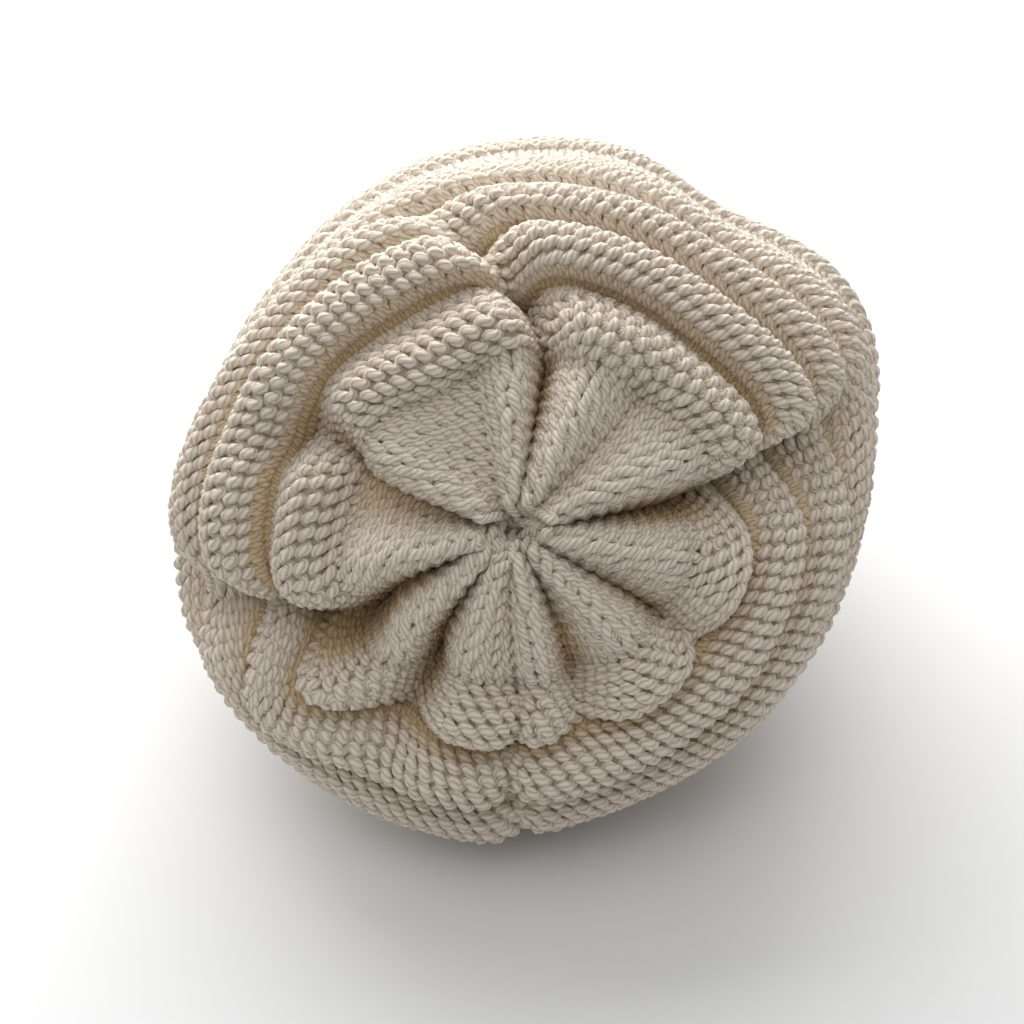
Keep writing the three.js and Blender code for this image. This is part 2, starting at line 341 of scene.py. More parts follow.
def crown_petals(angle):
    """Petals of the crown: convex wedges between sharp creases."""
    total = np.zeros(np.shape(angle))
    for fold, after in zip(FOLDS, FOLDS[1:] + FOLDS[:1]):
        across = (angle - fold.angle) % 360 / ((after.angle - fold.angle) % 360)
        inside = across < 1
        across = np.where(inside, across, 0)
        depth = fold.depth + (after.depth - fold.depth) * rise(across, (0, 1))
        bent = across ** (math.log(0.5) / math.log(fold.crest))
        total = np.where(inside, -depth * (1 - np.sin(np.pi * bent) ** fold.narrow), total)
    return total


def gap_depth(angle, row):
    """How much deeper the folds are where they open at the edge of the crown."""
    total = 0
    for gap in GAPS:
        at = gap.angle + gap.swing * np.maximum(CROWN_ROW - row, 0)
        around = bell(turn(at, angle), gap.width, gap.width)
        total = total + gap.depth * around * bell(row - gap.row, gap.reach, gap.reach)
    return total


def fold_height(angle, row):
    """Folds of the bag and petals of the crown, which both close up at the tip."""
    on_crown = rise(row, PETAL_START)
    folded = bag_folds(angle, row) * (1 - on_crown) + crown_petals(angle) * on_crown - gap_depth(angle, row)
    raised = (folded + PETAL_SWELL * rise(row, PETAL_RISE)) * rise(TIP_ROW - row, TIP_CLOSING)
    return raised - TIP_DIMPLE * bell(TIP_ROW - row, TIP_DIMPLE_ROWS, TIP_DIMPLE_ROWS)


def rib_height(angle, row):
    """Ribs of the brim band, pairs of knit columns standing proud of pairs of purl columns."""
    return RIB_RELIEF * np.cos(np.radians(angle) * RIB_COUNT) * (1 - rise(row, RIB_END))


def wall_point(angle, row, offset):
    """A point of the knitted wall in metres, at an offset in millimetres from the plain form."""
    angle, row = np.broadcast_arrays(np.asarray(angle, float), np.asarray(row, float))
    place = row_place(angle, row)
    height = welt_height(angle, row) + fold_height(angle, row) + rib_height(angle, row) + offset
    around = angle + drawn("lean", angle, row)
    point = form_point(around, place) + form_normal(around, place) * height[..., None]
    return (point - np.array(OUTLINE_MIDDLE)) * MM


def painted_shade(angle, row):
    """How much painted warm shade a place gets, from 0 to 1, by how deep it lies in a groove or a fold."""
    angle, row = np.broadcast_arrays(np.asarray(angle, float), np.asarray(row, float))
    creases = gap_depth(angle, row) - crown_petals(angle) * rise(row, PETAL_START)
    grooves = rise(-welt_height(angle, row + PAINTED_SHADE_SHIFT_ROWS), WELT_PAINTED_SHADE) * rise(row, WELT_START)
    return grooves + rise(creases, PETAL_PAINTED_SHADE)


# Rows of stitches on the form

def even_rows(start, end, count, offset):
    """Rows that lie evenly along the wall between two rows, as tables of the row at each angle.

    There is one table for the foot of each row, one for its middle and one for its head.
    """
    fine = np.linspace(start, end, count * FINE_ROWS + 1)
    angle_grid, row_grid = np.meshgrid(TABLE_ANGLES, fine, indexing="ij")
    steps = np.linalg.norm(np.diff(wall_point(angle_grid, row_grid, offset), axis=1), axis=2)
    lengths = np.concatenate([np.zeros((len(steps), 1)), np.cumsum(steps, axis=1)], axis=1)
    shares = np.linspace(0, 1, 2 * count + 1)
    edges = np.array([np.interp(shares * line[-1], line, fine) for line in lengths]).T
    return [SimpleNamespace(foot=edges[i], middle=edges[i + 1], head=edges[i + 2])
            for i in range(0, 2 * count, 2)]


def level_rows(rows, pitch):
    """Rows at the same height all the way round, as tables of the row at each angle."""
    flat = np.ones(len(TABLE_ANGLES))
    return [SimpleNamespace(foot=flat * (row - pitch / 2), middle=flat * row, head=flat * (row + pitch / 2))
            for row in rows]


def row_at(table, angle):
    """The row that a table gives at an angle."""
    return np.interp(angle % 360, TABLE_ANGLES, table)


def spaced_angles(start, end, table, offset, shares):
    """Angles at shares of the length of a row between two angles, and that length."""
    angles = np.linspace(start, end, max(int(RING_STEPS * (end - start) / 360), FEWEST_STEPS))
    points = wall_point(angles, row_at(table, angles), offset)
    lengths = np.concatenate([[0], np.cumsum(np.linalg.norm(np.diff(points, axis=0), axis=1))])
    return np.interp(shares * lengths[-1], lengths, angles), lengths[-1]


def row_path(angles_at, tables, offset, stitch_count, purl):
    """The line of one row and, at each point, the width and height of a stitch and the way outwards."""
    points = POINTS_PER_PURL if np.all(purl) else POINTS_PER_KNIT
    stitch = np.arange(stitch_count * points + 1) / points
    lines = {}
    for name in ("foot", "middle", "head"):
        table = getattr(tables, name)
        angles = angles_at(table, stitch)
        rows = row_at(table, angles)
        lines[name] = wall_point(angles, rows, offset)
        if name == "middle":
            # Painted warm shade that the row carries to the yarn, deeper in grooves and folds
            depth = painted_shade(angles, rows)
            lean = np.interp(angles % 360, BUMP_ANGLES, BUMP_LEANS)
            thin = THIN_YARN + (1 - THIN_YARN) * rise(TIP_ROW - rows, TIP_THINNING)
    across = np.gradient(lines["middle"], stitch, axis=0)
    up = lines["head"] - lines["foot"]
    return SimpleNamespace(
        points=lines["middle"],
        across=across,
        up=up,
        out=unit(np.cross(across, up)),
        phase=2 * np.pi * (stitch % 1 - 0.5),
        purl=np.broadcast_to(purl, stitch.shape),
        thickness=thin,
        painted_shade=depth,
        lean=lean,
    )


def ring_path(tables, offset, count, purl, start):
    """A row that runs round the whole hat from the seam, with its stitches evenly spaced."""
    def angles_at(table, stitch):
        return spaced_angles(SEAM_ANGLE, SEAM_ANGLE + 360, table, offset, (stitch + start) / count)[0]
    return row_path(angles_at, tables, offset, count, purl)


def rib_path(tables, offset):
    """A row of the brim band, with two columns of stitches on each rib and two between ribs."""
    def angles_at(table, stitch):
        return RIB_SEAM_ANGLE + stitch * 360 / BRIM_STITCHES
    stitch = np.arange(BRIM_STITCHES * POINTS_PER_KNIT + 1) // POINTS_PER_KNIT
    middle = RIB_SEAM_ANGLE + (stitch + 0.5) * 360 / BRIM_STITCHES
    return row_path(angles_at, tables, offset, BRIM_STITCHES, np.cos(np.radians(middle) * RIB_COUNT) < 0)


def petal_path(fold, after, tables, offset, stitch_width):
    """The stretch of a crown row on one petal. Its columns of stitches follow one side of the petal."""
    start = fold.angle
    end = fold.angle + (after.angle - fold.angle) % 360
    length = spaced_angles(start, end, tables.middle, offset, np.zeros(1))[1]
    count = max(round(length / stitch_width), 1)

    def angles_at(table, stitch):
        whole = spaced_angles(start, end, table, offset, np.zeros(1))[1]
        share = stitch / count * length / whole
        if fold.columns_follow == "ccw":
            share = 1 - (count - stitch) / count * length / whole
        return spaced_angles(start, end, table, offset, np.clip(share, 0, 1))[0]
    return row_path(angles_at, tables, offset, count, False)


def joined_path(paths):
    """One row made of several stretches, each of which starts where the last one ended."""
    whole = SimpleNamespace()
    for name in vars(paths[0]):
        stretches = [getattr(path, name)[:-1] for path in paths[:-1]] + [getattr(paths[-1], name)]
        setattr(whole, name, np.concatenate(stretches))
    return whole


# Sizes and colours that a user would change

class YarnSettings(bpy.types.PropertyGroup):
    """Sizes and colour of the yarn and of its loops."""
    yarn_radius: bpy.props.FloatProperty(
        name="Yarn radius", description="Half the thickness of the yarn",
        default=0.00185, min=0.0005, max=0.003, precision=5, unit="LENGTH")
    yarn_sides: bpy.props.IntProperty(
        name="Yarn sides", description="Sides of the yarn's round section", default=6, min=3, max=12)
    knit_height: bpy.props.FloatProperty(
        name="Knit height", description="How far a knit loop reaches above and below its row, in rows",
        default=0.78, min=0.4, max=1.2)
    knit_lean: bpy.props.FloatProperty(
        name="Knit lean", description="How far the legs of a knit loop lean outwards, in stitches",
        default=0.25, min=0, max=0.35)
    knit_depth: bpy.props.FloatProperty(
        name="Knit depth", description="How far a knit loop reaches in front of and behind its row",
        default=0.00125, min=0, max=0.003, precision=5, unit="LENGTH")
    purl_tilt: bpy.props.FloatProperty(
        name="Purl tilt",
        description="How far the two ends of a purl bump lie above and below its row, in rows",
        default=0.27, min=0, max=0.6)
    purl_depth: bpy.props.FloatProperty(
        name="Purl depth", description="How far a purl bump stands in front of its row",
        default=0.0011, min=0, max=0.003, precision=5, unit="LENGTH")
    wobble: bpy.props.FloatProperty(
        name="Wobble", description="How unevenly the loops are worked",
        default=0.0006, min=0, max=0.002, precision=5, unit="LENGTH")
    seed: bpy.props.FloatProperty(name="Seed", description="Picks another unevenness", default=3)
    ply_count: bpy.props.IntProperty(
        name="Plies", description="Strands twisted together in the yarn", default=4, min=2, max=6)
    ply_pitch: bpy.props.FloatProperty(
        name="Ply pitch", description="Length of yarn in which its plies turn once",
        default=0.008, min=0.002, max=0.02, precision=5, unit="LENGTH")
    colour: bpy.props.FloatVectorProperty(
        name="Yarn colour", description="Colour of the lit yarn",
        default=(0.85, 0.76, 0.65), min=0, max=1, size=3, subtype="COLOR")
    # Painted shade between the plies; the fibres and the drifting tone also move the yarn towards this
    # darker colour
    ply_shade_and_fibre_colour: bpy.props.FloatVectorProperty(
        name="Ply shade and fibre colour", description="Colour between the plies",
        default=(0.52, 0.44, 0.34), min=0, max=1, size=3, subtype="COLOR")
    # Painted warm shade: the yarn is multiplied by this colour deep in the grooves and folds, where shade
    # falls
    painted_shade_tint: bpy.props.FloatVectorProperty(
        name="Painted shade tint", description="Tint of the yarn deep in the grooves and folds",
        default=(0.84, 0.7, 0.47), min=0, max=1, size=3, subtype="COLOR")


class KnitSettings(bpy.types.PropertyGroup):
    """How the rows lie in the knitted wall."""
    middle: bpy.props.FloatProperty(
        name="Middle of the wall", description="Offset of the rows from the plain form, in millimetres",
        default=0.4)
    core_half: bpy.props.FloatProperty(
        name="Core", description="Half the thickness of the packed middle of the wall, in millimetres",
        default=0.3)
    core_place: bpy.props.FloatProperty(
        name="Core place", description="Offset of the packed middle from the plain form, in millimetres",
        default=-0.4)
    first_brim_row: bpy.props.FloatProperty(
        name="First brim row", description="Height of the first row of loops above the rim, in rows",
        default=1.21)
    bag_stitch: bpy.props.FloatProperty(
        name="Bag stitch", description="Width of a stitch of the bag",
        default=0.0052, min=0.003, max=0.01, precision=4, unit="LENGTH")
    crown_stitch: bpy.props.FloatProperty(
        name="Crown stitch", description="Width of a stitch of the crown",
        default=0.0066, min=0.003, max=0.01, precision=4, unit="LENGTH")


class StageSettings(bpy.types.PropertyGroup):
    """Floor, light and camera."""
    floor_size: bpy.props.FloatProperty(
        name="Floor", description="Side of the floor", default=30, min=1, unit="LENGTH")
    floor_colour: bpy.props.FloatVectorProperty(
        name="Floor colour", description="Colour of the pale floor",
        default=(0.76, 0.76, 0.76), min=0, max=1, size=3, subtype="COLOR")
    sky_strength: bpy.props.FloatProperty(
        name="Sky", description="Strength of the soft light from overhead", default=0.85, min=0)
    key_power: bpy.props.FloatProperty(
        name="Key light", description="Power of the large soft light above the front",
        default=41, min=0, unit="POWER")
    top_power: bpy.props.FloatProperty(
        name="Top light", description="Power of the soft light above the crown",
        default=1.6, min=0, unit="POWER")
    camera_distance: bpy.props.FloatProperty(
        name="Camera distance", description="From the camera to what it looks at",
        default=1.1, min=0.3, unit="LENGTH")
    camera_elevation: bpy.props.FloatProperty(
        name="Camera elevation", description="Angle of the camera above the floor",
        default=math.radians(42), subtype="ANGLE")
    lens: bpy.props.FloatProperty(
        name="Lens", description="Focal length in millimetres", default=127.6, min=20)
    target: bpy.props.FloatVectorProperty(
        name="Target", description="Point in the middle of the picture",
        default=(-0.0055, -0.0723, 0.117), size=3, subtype="XYZ", unit="LENGTH")


# Building node trees

def add_node(tree, kind, **settings):
    """A new node with some of its settings."""
    node = tree.nodes.new(kind)
    for name, value in settings.items():
        setattr(node, name, value)
    return node


def put(tree, value, socket):
    """Links a socket to an input, or sets the input to a value."""
    if isinstance(value, bpy.types.NodeSocket):
        tree.links.new(value, socket)
    else:
        socket.default_value = value


def calc(tree, operation, *values):
    """A math node's result."""
    node = add_node(tree, "ShaderNodeMath", operation=operation)
    for value, socket in zip(values, node.inputs):
        put(tree, value, socket)
    return node.outputs[0]


def calc_vector(tree, operation, *values):
    """A vector math node's result."""
    node = add_node(tree, "ShaderNodeVectorMath", operation=operation)
    for value, socket in zip(values, node.inputs):
        put(tree, value, socket)
    return node.outputs["Vector"]


def scaled(tree, vector, factor):
    """A vector times a number."""
    node = add_node(tree, "ShaderNodeVectorMath", operation="SCALE")
    put(tree, vector, node.inputs[0])
    put(tree, factor, node.inputs["Scale"])
    return node.outputs["Vector"]


def shown_socket(sockets, name):
    """The socket of a name that the node's settings leave in use."""
    return next(socket for socket in sockets if socket.name == name and socket.enabled)


def read_attribute(tree, name, kind):
    """A named attribute of the geometry."""
    node = add_node(tree, "GeometryNodeInputNamedAttribute", data_type=kind)
    node.inputs["Name"].default_value = name
    return shown_socket(node.outputs, "Attribute")


def store_attribute(tree, geometry, name, kind, value):
    """Geometry with a named attribute at its points."""
    node = add_node(tree, "GeometryNodeStoreNamedAttribute", data_type=kind, domain="POINT")
    put(tree, geometry, node.inputs["Geometry"])
    node.inputs["Name"].default_value = name
    put(tree, value, shown_socket(node.inputs, "Value"))
    return node.outputs["Geometry"]


def drop_attribute(tree, geometry, name):
    """Geometry without a named attribute."""
    node = add_node(tree, "GeometryNodeRemoveAttribute")
    put(tree, geometry, node.inputs["Geometry"])
    node.inputs["Name"].default_value = name
    return node.outputs["Geometry"]


# What the rows carry into the yarn tree, what is dropped once the yarn is swept, and the tree's inputs
PATH_VECTORS = ("across", "up", "out")
PATH_NUMBERS = ("phase", "purl", "thickness", "painted_shade", "lean")
DROPPED_ATTRIBUTES = (*PATH_VECTORS, "phase", "purl", "thickness", "lean", "along", "ring")
YARN_TREE = "Yarn loops"
YARN_INPUTS = (
    ("Rows", "NodeSocketGeometry"),
    ("Yarn radius", "NodeSocketFloat"),
    ("Yarn sides", "NodeSocketInt"),
    ("Knit height", "NodeSocketFloat"),
    ("Knit lean", "NodeSocketFloat"),
    ("Knit depth", "NodeSocketFloat"),
    ("Purl tilt", "NodeSocketFloat"),
    ("Purl depth", "NodeSocketFloat"),
    ("Wobble", "NodeSocketFloat"),
    ("Seed", "NodeSocketFloat"),
    ("Material", "NodeSocketMaterial"),
)
WOBBLE_SCALE = 160


def along_path(tree, across, up, out):
    """A move made of shares of a stitch's width, of a row's height and of the way outwards."""
    total = (0.0, 0.0, 0.0)
    for name, factor in zip(PATH_VECTORS, (across, up, out)):
        move = scaled(tree, read_attribute(tree, name, "FLOAT_VECTOR"), factor)
        total = calc_vector(tree, "ADD", move, total)
    return total


def loop_offset(tree, inputs):
    """How far each point of a row is moved, so that the row runs in knit loops or purl bumps."""
    phase = read_attribute(tree, "phase", "FLOAT")
    double = calc(tree, "MULTIPLY", phase, 2.0)
    backwards = calc(tree, "MULTIPLY", inputs["Knit depth"], -1.0)
    knit = along_path(
        tree,
        calc(tree, "MULTIPLY", calc(tree, "SINE", double), inputs["Knit lean"]),
        calc(tree, "MULTIPLY", calc(tree, "COSINE", phase), inputs["Knit height"]),
        calc(tree, "MULTIPLY", calc(tree, "COSINE", double), backwards),
    )
    tilt = calc(tree, "MULTIPLY", inputs["Purl tilt"], read_attribute(tree, "lean", "FLOAT"))
    purl = along_path(
        tree,
        0.0,
        calc(tree, "MULTIPLY", calc(tree, "SINE", calc(tree, "MULTIPLY", phase, -1.0)), tilt),
        calc(tree, "MULTIPLY", calc(tree, "COSINE", phase), inputs["Purl depth"]),
    )
    chosen = add_node(tree, "ShaderNodeMix", data_type="VECTOR")
    put(tree, read_attribute(tree, "purl", "FLOAT"), chosen.inputs["Factor"])
    put(tree, knit, shown_socket(chosen.inputs, "A"))
    put(tree, purl, shown_socket(chosen.inputs, "B"))
    total = shown_socket(chosen.outputs, "Result")
    noise = add_node(tree, "ShaderNodeTexNoise", noise_dimensions="4D")
    put(tree, add_node(tree, "GeometryNodeInputPosition").outputs["Position"], noise.inputs["Vector"])
    put(tree, inputs["Seed"], noise.inputs["W"])
    noise.inputs["Scale"].default_value = WOBBLE_SCALE
    centred = calc_vector(tree, "SUBTRACT", noise.outputs["Color"], (0.5, 0.5, 0.5))
    uneven = scaled(tree, centred, calc(tree, "MULTIPLY", inputs["Wobble"], 2.0))
    return calc_vector(tree, "ADD", total, uneven)


def yarn_tree():
    """Node tree that turns plain rows into loops of round yarn."""
    tree = bpy.data.node_groups.new(YARN_TREE, "GeometryNodeTree")
    for name, kind in YARN_INPUTS:
        tree.interface.new_socket(name=name, in_out="INPUT", socket_type=kind)
    tree.interface.new_socket(name="Yarn", in_out="OUTPUT", socket_type="NodeSocketGeometry")
    inputs = add_node(tree, "NodeGroupInput").outputs
    moved = add_node(tree, "GeometryNodeSetPosition")
    put(tree, inputs["Rows"], moved.inputs["Geometry"])
    put(tree, loop_offset(tree, inputs), moved.inputs["Offset"])
    rows = add_node(tree, "GeometryNodeMeshToCurve")
    put(tree, moved.outputs["Geometry"], rows.inputs["Mesh"])
    length = add_node(tree, "GeometryNodeSplineParameter").outputs["Length"]
    line = store_attribute(tree, rows.outputs["Curve"], "along", "FLOAT", length)
    sized = add_node(tree, "GeometryNodeSetCurveRadius")
    put(tree, line, sized.inputs["Curve"])
    put(tree, read_attribute(tree, "thickness", "FLOAT"), sized.inputs["Radius"])
    circle = add_node(tree, "GeometryNodeCurvePrimitiveCircle")
    put(tree, inputs["Yarn sides"], circle.inputs["Resolution"])
    put(tree, inputs["Yarn radius"], circle.inputs["Radius"])
    position = add_node(tree, "GeometryNodeInputPosition").outputs["Position"]
    ring = calc_vector(tree, "NORMALIZE", position)
    profile = store_attribute(tree, circle.outputs["Curve"], "ring", "FLOAT_VECTOR", ring)
    sweep = add_node(tree, "GeometryNodeCurveToMesh")
    put(tree, sized.outputs["Curve"], sweep.inputs["Curve"])
    put(tree, profile, sweep.inputs["Profile Curve"])
    sweep.inputs["Fill Caps"].default_value = True
    radius = add_node(tree, "GeometryNodeInputRadius")
    put(tree, radius.outputs["Radius"], sweep.inputs["Scale"])
    along = add_node(tree, "ShaderNodeCombineXYZ")
    put(tree, read_attribute(tree, "along", "FLOAT"), along.inputs["Z"])
    around = read_attribute(tree, "ring", "FLOAT_VECTOR")
    coordinate = calc_vector(tree, "ADD", around, along.outputs["Vector"])
    yarn = store_attribute(tree, sweep.outputs["Mesh"], "yarn", "FLOAT_VECTOR", coordinate)
    for name in DROPPED_ATTRIBUTES:
        yarn = drop_attribute(tree, yarn, name)
    smooth = add_node(tree, "GeometryNodeSetShadeSmooth")
    put(tree, yarn, smooth.inputs["Geometry"])
    real = add_node(tree, "GeometryNodeRealizeInstances")
    put(tree, smooth.outputs["Geometry"], real.inputs["Geometry"])
    finish = add_node(tree, "GeometryNodeSetMaterial")
    put(tree, real.outputs["Geometry"], finish.inputs["Geometry"])
    put(tree, inputs["Material"], finish.inputs["Material"])
    put(tree, finish.outputs["Geometry"], add_node(tree, "NodeGroupOutput").inputs["Yarn"])
    return tree


# Materials

# Fibres, drifting tone and plies of the yarn: how fine they are, how much they darken its colour, with the
# painted shade between the plies, and their relief
YARN_MATERIAL = "plied_cream_yarn"
FIBRE_SCALE = 300
FIBRES_PER_PLY = 2.2
FIBRE_DETAIL = 2
FIBRE_SHADE = 0.9
FIBRE_RELIEF = 0.9
TONE_SCALE = 22
TONE_SHADE = 0.2
MIDDLE_SHADE = 0.6
PLY_ROUNDNESS = 0.6
PLY_RELIEF = 0.0003
YARN_ROUGHNESS = 0.85
YARN_SPECULAR = 0.3
YARN_SHEEN = 0.25
SHEEN_ROUGHNESS = 0.4
SHEEN_TINT = (1, 0.97, 0.92, 1)
FLOOR_ROUGHNESS = 0.9


def yarn_material(settings):
    """Cream plied yarn: the plies wind round it with painted shade between them, fibres run along them, and
    its tone drifts. Painted warm shade darkens it deep in the grooves and folds.
    """
    material = bpy.data.materials.new(YARN_MATERIAL)
    material.use_nodes = True
    tree = material.node_tree
    shader = tree.nodes["Principled BSDF"]
    place = add_node(tree, "ShaderNodeAttribute", attribute_name="yarn")
    parts = add_node(tree, "ShaderNodeSeparateXYZ")
    put(tree, place.outputs["Vector"], parts.inputs["Vector"])
    around = calc(tree, "ARCTAN2", parts.outputs["Y"], parts.outputs["X"])
    wound = calc(tree, "MULTIPLY", parts.outputs["Z"], math.pi * settings.ply_count / settings.ply_pitch)
    strand = calc(tree, "MULTIPLY_ADD", around, settings.ply_count / 2, wound)
    ply = calc(tree, "ABSOLUTE", calc(tree, "SINE", strand))
    coordinates = add_node(tree, "ShaderNodeTexCoord").outputs["Object"]
    streak = add_node(tree, "ShaderNodeCombineXYZ")
    put(tree, calc(tree, "MULTIPLY", strand, FIBRES_PER_PLY), streak.inputs["X"])
    put(tree, calc(tree, "MULTIPLY", parts.outputs["Z"], FIBRE_SCALE), streak.inputs["Y"])
    fibre = add_node(tree, "ShaderNodeTexNoise")
    put(tree, streak.outputs["Vector"], fibre.inputs["Vector"])
    fibre.inputs["Scale"].default_value = 1
    fibre.inputs["Detail"].default_value = FIBRE_DETAIL
    tone = add_node(tree, "ShaderNodeTexNoise")
    put(tree, coordinates, tone.inputs["Vector"])
    tone.inputs["Scale"].default_value = TONE_SCALE
    # The plies are lit on their crowns and get painted shade between them; fibres and the drifting tone
    # move this up and down at random
    lit = calc(tree, "POWER", ply, PLY_ROUNDNESS)
    shade = calc(tree, "MULTIPLY_ADD", fibre.outputs["Fac"], FIBRE_SHADE, lit)
    shade = calc(tree, "MULTIPLY_ADD", tone.outputs["Fac"], TONE_SHADE, shade)
    shade = calc(tree, "SUBTRACT", shade, MIDDLE_SHADE)
    colour = add_node(tree, "ShaderNodeMix", data_type="RGBA", clamp_factor=True)
    put(tree, shade, colour.inputs["Factor"])
    put(tree, (*settings.ply_shade_and_fibre_colour, 1), shown_socket(colour.inputs, "A"))
    put(tree, (*settings.colour, 1), shown_socket(colour.inputs, "B"))
    # Painted warm shade, multiplied in deep in the grooves and folds and on the packed middle of the wall
    deep = add_node(tree, "ShaderNodeAttribute", attribute_name="painted_shade")
    shaded = add_node(tree, "ShaderNodeMix", data_type="RGBA", blend_type="MULTIPLY", clamp_factor=True)
    put(tree, deep.outputs["Fac"], shaded.inputs["Factor"])
    put(tree, shown_socket(colour.outputs, "Result"), shown_socket(shaded.inputs, "A"))
    put(tree, (*settings.painted_shade_tint, 1), shown_socket(shaded.inputs, "B"))
    put(tree, shown_socket(shaded.outputs, "Result"), shader.inputs["Base Color"])
    relief = calc(tree, "MULTIPLY_ADD", fibre.outputs["Fac"], FIBRE_RELIEF, ply)
    bump = add_node(tree, "ShaderNodeBump")
    bump.inputs["Distance"].default_value = PLY_RELIEF
    bump.inputs["Strength"].default_value = 1
    put(tree, relief, bump.inputs["Height"])
    put(tree, bump.outputs["Normal"], shader.inputs["Normal"])
    shader.inputs["Roughness"].default_value = YARN_ROUGHNESS
    shader.inputs["Specular IOR Level"].default_value = YARN_SPECULAR
    shader.inputs["Sheen Weight"].default_value = YARN_SHEEN
    shader.inputs["Sheen Roughness"].default_value = SHEEN_ROUGHNESS
    shader.inputs["Sheen Tint"].default_value = SHEEN_TINT
    return material


def floor_material(settings):
    """Plain pale floor."""
    material = bpy.data.materials.new("pale_floor")
    material.use_nodes = True
    shader = material.node_tree.nodes["Principled BSDF"]
    shader.inputs["Base Color"].default_value = (*settings.floor_colour, 1)
    shader.inputs["Roughness"].default_value = FLOOR_ROUGHNESS
    return material


# Making pieces

def rows_mesh(name, paths):
    """A mesh of plain rows that carries what the yarn tree needs at each point."""
    points = np.concatenate([path.points for path in paths])
    edges = []
    start = 0
    for path in paths:
        count = len(path.points)
        edges.append(np.stack([np.arange(count - 1), np.arange(1, count)], 1) + start)
        start += count
    mesh = bpy.data.meshes.new(name)
    mesh.from_pydata(points.tolist(), np.concatenate(edges).tolist(), [])
    for label in PATH_VECTORS:
        values = np.concatenate([getattr(path, label) for path in paths])
        attribute = mesh.attributes.new(label, "FLOAT_VECTOR", "POINT")
        attribute.data.foreach_set("vector", values.astype(np.float32).ravel())
    for label in PATH_NUMBERS:
        values = np.concatenate([getattr(path, label) for path in paths])
        attribute = mesh.attributes.new(label, "FLOAT", "POINT")
        attribute.data.foreach_set("value", values.astype(np.float32))
    return mesh


def core_mesh(name, angles, rows, middle, half):
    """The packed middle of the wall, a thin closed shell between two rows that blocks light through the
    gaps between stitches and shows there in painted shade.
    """
    angle_grid, row_grid = np.meshgrid(angles, rows)
    outside = wall_point(angle_grid, row_grid, middle + half).reshape(-1, 3)
    inside = wall_point(angle_grid, row_grid, middle - half).reshape(-1, 3)
    turns = len(angles)
    last = len(rows) - 1
    below = len(outside)
    faces = []
    for i in range(turns):
        n = (i + 1) % turns
        for j in range(last):
            a, b = j * turns, (j + 1) * turns
            faces.append((a + i, a + n, b + n, b + i))
            faces.append((below + a + n, below + a + i, below + b + i, below + b + n))
        top = last * turns
        faces.append((below + i, below + n, n, i))
        faces.append((top + i, top + n, below + top + n, below + top + i))
    mesh = bpy.data.meshes.new(name)
    mesh.from_pydata(np.concatenate([outside, inside]).tolist(), [], faces)
    mesh.polygons.foreach_set("use_smooth", [True] * len(mesh.polygons))
    # Painted shade, deeper than on the yarn; without plies the shell also takes the darker colour between
    # plies, so it looks like shaded yarn behind the gaps
    depth = np.clip(painted_shade(angle_grid, row_grid) + CORE_PAINTED_SHADE, 0, 1).ravel()
    attribute = mesh.attributes.new("painted_shade", "FLOAT", "POINT")
    attribute.data.foreach_set("value", np.tile(depth, 2).astype(np.float32))
    return mesh


def swept_yarn(name, paths, settings, tree, material):
    """The rows worked into yarn, as a plain mesh."""
    carrier = bpy.data.objects.new(name + "_rows", rows_mesh(name + "_rows", paths))
    bpy.context.scene.collection.objects.link(carrier)
    modifier = carrier.modifiers.new(YARN_TREE, "NODES")
    modifier.node_group = tree
    values = {
        "Yarn radius": settings.yarn_radius,
        "Yarn sides": settings.yarn_sides,
        "Knit height": settings.knit_height,
        "Knit lean": settings.knit_lean,
        "Knit depth": settings.knit_depth,
        "Purl tilt": settings.purl_tilt,
        "Purl depth": settings.purl_depth,
        "Wobble": settings.wobble,
        "Seed": settings.seed,
        "Material": material,
    }
    for item in tree.interface.items_tree:
        if item.name in values:
            modifier[item.identifier] = values[item.name]
    depsgraph = bpy.context.evaluated_depsgraph_get()
    mesh = bpy.data.meshes.new_from_object(carrier.evaluated_get(depsgraph))
    plain_rows = carrier.data
    bpy.data.objects.remove(carrier)
    bpy.data.meshes.remove(plain_rows)
    return mesh


def knitted_piece(name, node, paths, core_angles, core_rows):
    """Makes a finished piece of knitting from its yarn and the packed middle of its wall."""
    scene = bpy.context.scene
    knit = scene.beanie_knit
    tree = bpy.data.node_groups.get(YARN_TREE) or yarn_tree()
    material = bpy.data.materials.get(YARN_MATERIAL) or yarn_material(scene.beanie_yarn)
    yarn = swept_yarn(name, paths, scene.beanie_yarn, tree, material)
    core = core_mesh(name + "_core", core_angles, core_rows, knit.core_place, knit.core_half)
    both = bmesh.new()
    both.from_mesh(yarn)
    both.from_mesh(core)
    mesh = bpy.data.meshes.new(name)
    both.to_mesh(mesh)
    both.free()
    bpy.data.meshes.remove(yarn)
    bpy.data.meshes.remove(core)
    mesh.materials.clear()
    mesh.materials.append(material)
    piece = bpy.data.objects.new(name, mesh)
    scene.collection.objects.link(piece)
    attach(piece, "root")
    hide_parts(node)


class KnitBrimBand(bpy.types.Operator):
    """Knits the ribbed band round the rim"""
    bl_idname = "beanie.knit_brim_band"
    bl_label = "Knit brim band"

    def execute(self, context):
        knit = context.scene.beanie_knit
        rows = np.linspace(knit.first_brim_row, BRIM_YARN_END, BRIM_ROWS)
        paths = [rib_path(tables, knit.middle) for tables in level_rows(rows, rows[1] - rows[0])]
        core_angles = np.linspace(0, 360, BRIM_CORE_STEPS, endpoint=False)
        core_rows = np.linspace(knit.first_brim_row / 2, BRIM_CORE_END, WALL_CORE_ROWS)
        knitted_piece("brim_band_knit", "brim_band", paths, core_angles, core_rows)
        return {"FINISHED"}


